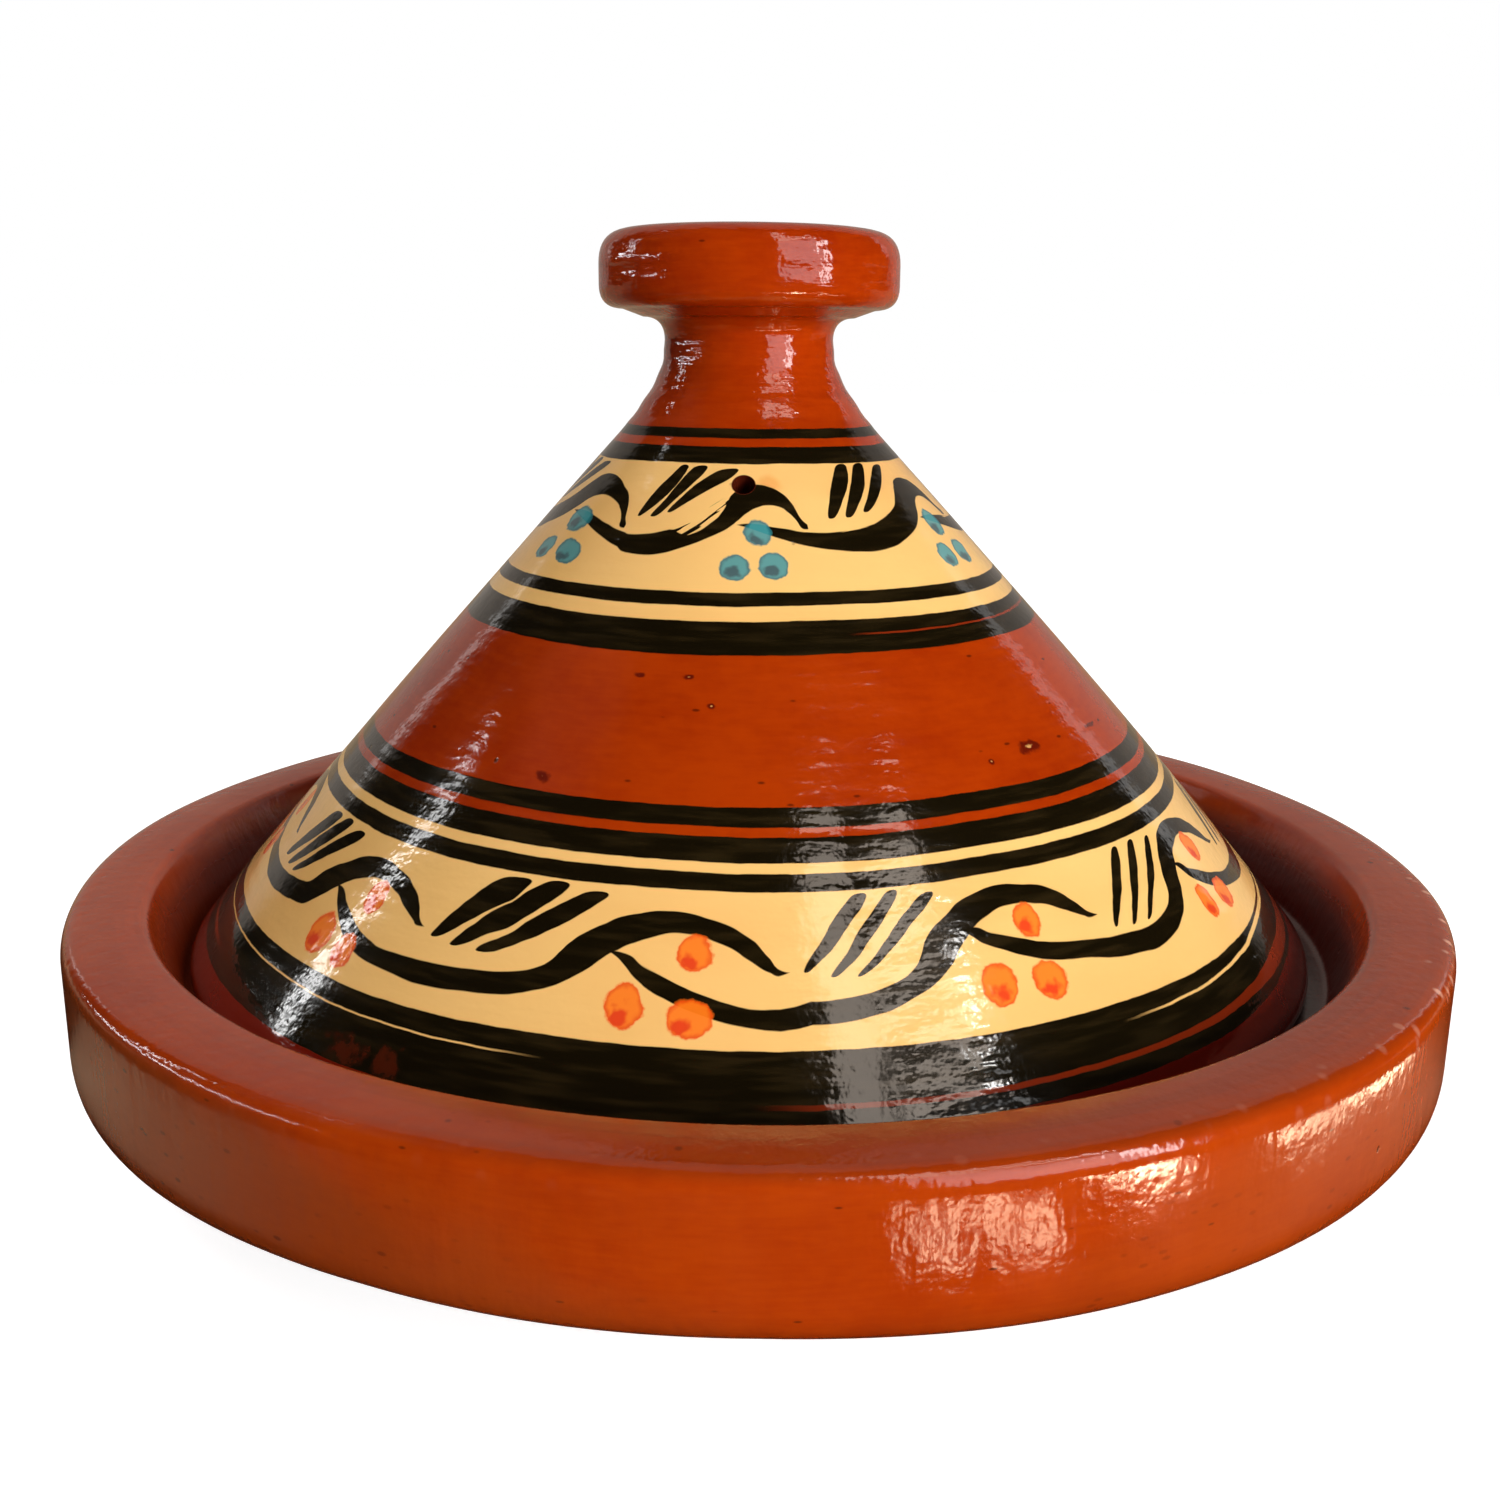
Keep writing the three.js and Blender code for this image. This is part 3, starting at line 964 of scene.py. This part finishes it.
def makeFloor(values):
    bpy.ops.object.select_all(action="DESELECT")
    low = (0, 0, -values["floorDrop"] * mm)
    bpy.ops.mesh.primitive_plane_add(size=values["floorSize"], location=low)
    floor = bpy.context.active_object
    floor.name = "studioFloor"
    material, wire = newMaterial("floorPaper")
    rays = wire.node("LightPath")
    seen = rays.pick("Is Camera Ray").maths("MAXIMUM", rays.pick("Is Transmission Ray"))
    paper = wire.node("BsdfDiffuse", {}, {"Color": values["floorColour"]})
    glow = wire.node("Emission", {}, {"Strength": seen * values["floorGlow"]})
    spot = wire.node("SeparateXYZ", {}, {"Vector": wire.node("TexCoord", out="Object")})
    across, deep = spot.pick("X"), spot.pick("Y")
    behind = ease(deep, *values["floorPaper"])
    mirror = behind * (values["paperMirror"] - values["floorMirror"]) + values["floorMirror"]
    around = deep.maths("ARCTAN2", across) * (180 / math.pi)
    reach = (across * across + deep * deep).maths("SQRT") / mm
    long, close = values["dappleStretch"]
    streaky = wire.node("CombineXYZ", {}, {"X": around * long, "Y": reach * close})
    dapple = ease(cloud(streaky, 1, 3), *values["dapple"])

    def patch(turn, far, wide, tall, strength, soft):
        aside, beyond = (around - turn) / wide, (reach - far) / tall
        off = aside.maths("ABSOLUTE").maths("MAXIMUM", beyond.maths("ABSOLUTE"))
        return (1 - ease(off, soft, 1)) * strength

    for place in values["floorPatches"]:
        mirror = mirror + patch(*place, values["patchSoft"]) * dapple
    for place in values["floorVeils"]:
        mirror = mirror + patch(*place, values["veilSoft"])
    bounce = wire.node("Emission", {}, {"Color": values["patchColour"], "Strength": mirror})
    lit = wire.node("AddShader", {}, {0: paper, 1: glow})
    both = wire.node("MixShader", {}, {0: rays.pick("Is Glossy Ray"), 1: lit, 2: bounce})
    wire.node("OutputMaterial", {}, {"Surface": both}, out=None)
    floor.data.materials.append(material)


def makeWorld(values):
    world = bpy.data.worlds.new("studioAir")
    bpy.context.scene.world = world
    world.use_nodes = True
    world.node_tree.nodes.clear()
    wire = Wire(world.node_tree)
    rays = wire.node("LightPath")
    seen = rays.pick("Is Camera Ray").maths("MAXIMUM", rays.pick("Is Transmission Ray"))
    way = wire.node("SeparateXYZ", {}, {"Vector": wire.node("TexCoord", out="Generated")})
    across, deep = way.pick("X"), way.pick("Y")
    flat = (across * across + deep * deep).maths("SQRT") + 0.001  # never zero
    behind = ease(deep / flat, *values["paperSide"])
    mirror = behind * (values["paperMirror"] - values["frontMirror"]) + values["frontMirror"]
    mirror = mirror * (1 - across * values["paperLean"])
    air = behind * (values["paperAir"] - values["frontAir"]) + values["frontAir"]
    glossy = rays.pick("Is Glossy Ray")
    strength = seen + (1 - seen) * (glossy * mirror + (1 - glossy) * air)
    tint = mixColour(glossy * (1 - seen), (1, 1, 1, 1), values["paperTint"])
    sky = wire.node("Background", {}, {"Color": tint, "Strength": strength})
    wire.node("OutputWorld", {}, {"Surface": sky}, out=None)


# Lamps are aimed at the lid: turn is measured from straight behind, rise from level, all in degrees.
lamps = {
    "daylight": {"turn": 141, "rise": 11, "wide": 26, "tall": 30, "level": 1.24, "away": 1.6},
    "skyLeft": {"turn": -78, "rise": 52, "wide": 40, "tall": 22, "level": 0.36, "away": 3},
    "lowWindow": {"turn": 139, "rise": 16, "wide": 32, "tall": 50, "glow": 2.8},
    "lowWindowEdge": {"turn": 122, "rise": 14, "wide": 5, "tall": 38, "glow": 14},
    "highPane": {"turn": 150, "rise": 52, "wide": 8, "tall": 22, "glow": 4.6, "colour": (1, 0.86, 0.74)},
    "highBarLow": {"turn": 130, "rise": 47, "wide": 17, "tall": 4, "glow": 6, "colour": (1, 0.86, 0.74)},
    "highBarUpper": {"turn": 129, "rise": 55, "wide": 15, "tall": 4, "glow": 6, "colour": (1, 0.86, 0.74)},
    "sparkle": {"turn": 119, "rise": 47, "wide": 2, "tall": 2, "glow": 40},
    "leftStrip": {"turn": -74, "rise": 27, "wide": 1.6, "tall": 15, "glow": 14},
    "leftStripFoot": {"turn": -75, "rise": 22, "wide": 3, "tall": 6, "glow": 6},
    "rimLine": {"turn": -87, "rise": 12, "wide": 46, "tall": 1, "glow": 28},
    "leftHigh": {"turn": -66, "rise": 52, "wide": 3, "tall": 1.6, "glow": 5},
    "leftEdge": {"turn": -46, "rise": 18, "wide": 2, "tall": 14, "glow": 1.2},
    "rightEdge": {"turn": 50, "rise": 20, "wide": 4, "tall": 24, "glow": 0.8},
}


def addLamp(name, values, lookHeight):
    away = values.get("away", studio["lampAway"])
    turn, rise = math.radians(values["turn"]), math.radians(values["rise"])
    way = Vector((math.sin(turn) * math.cos(rise), math.cos(turn) * math.cos(rise), math.sin(rise)))
    lamp = bpy.data.lights.new(name, "AREA")
    lamp.shape = "RECTANGLE"
    lamp.size = 2 * away * math.tan(math.radians(values["wide"] / 2))
    lamp.size_y = 2 * away * math.tan(math.radians(values["tall"] / 2))
    holder = bpy.data.objects.new(name, lamp)
    bpy.context.collection.objects.link(holder)
    holder.location = way * away + Vector((0, 0, lookHeight))
    holder.rotation_euler = way.to_track_quat("Z", "Y").to_euler()
    holder.visible_camera = False
    lamp.color = values.get("colour", (1, 1, 1))
    if "glow" in values:  # seen as a shine in the glaze
        lamp.energy = values["glow"] * math.pi * lamp.size * lamp.size_y
        holder.visible_diffuse = False
    else:
        lamp.energy = values["level"] * (math.pi * away) ** 2
        holder.visible_glossy = False


makeFloor(studio)
makeWorld(studio)
for name, values in lamps.items():
    addLamp(name, values, studio["lampAim"] * mm)

view = {
    "place": (-2.06, -358.6, 168.3),
    "lookDown": 14.46,
    "roll": 0.51,
    "lens": 38.57,
    "sensor": 36,
    "shiftUp": 10 / 1500,
    "nearest": 0.01,
}


def addCamera(values):
    lens = bpy.data.cameras.new("photoView")
    lens.sensor_width = values["sensor"]
    lens.lens = values["lens"]
    lens.shift_y = values["shiftUp"]
    lens.clip_start = values["nearest"]
    holder = bpy.data.objects.new("photoView", lens)
    bpy.context.collection.objects.link(holder)
    holder.location = Vector(values["place"]) * mm
    aim = Matrix.Rotation(math.radians(90 - values["lookDown"]), 3, "X")
    holder.rotation_euler = (aim @ Matrix.Rotation(math.radians(values["roll"]), 3, "Z")).to_euler()
    bpy.context.scene.camera = holder


addCamera(view)
bpy.context.scene.view_settings.view_transform = "Standard"
print("studio set")
